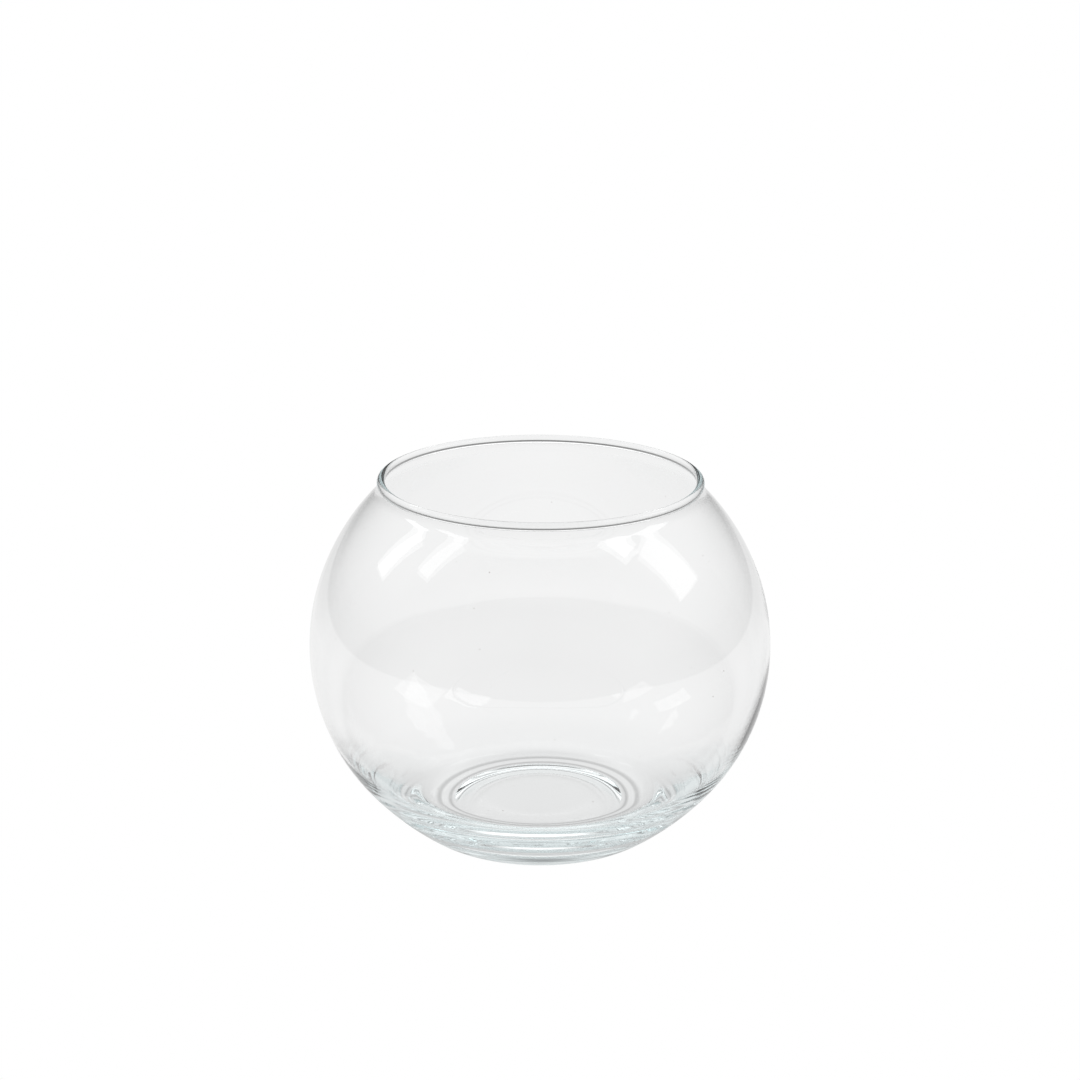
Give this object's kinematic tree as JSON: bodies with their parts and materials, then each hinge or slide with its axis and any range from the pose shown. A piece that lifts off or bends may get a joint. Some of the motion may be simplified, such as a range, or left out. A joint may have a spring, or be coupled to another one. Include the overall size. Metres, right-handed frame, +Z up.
{
  "type": "rose bowl vase",
  "caption": "Clear glass rose bowl: rounded body with a wide beaded mouth, thin wall, heavy floor and a flat foot ring.",
  "frame": {"origin": "centre of the foot, on the surface that the bowl stands on", "axes": "+Z up along the bowl's axis of revolution; X and Y are free because the bowl is round"},
  "size_m": [0.15, 0.15, 0.119],
  "materials": {
    "glass": "clear, fire-polished"
  },
  "bodies": {
    "root": {"glass_bowl": "glass"}
  },
  "joints": []
}
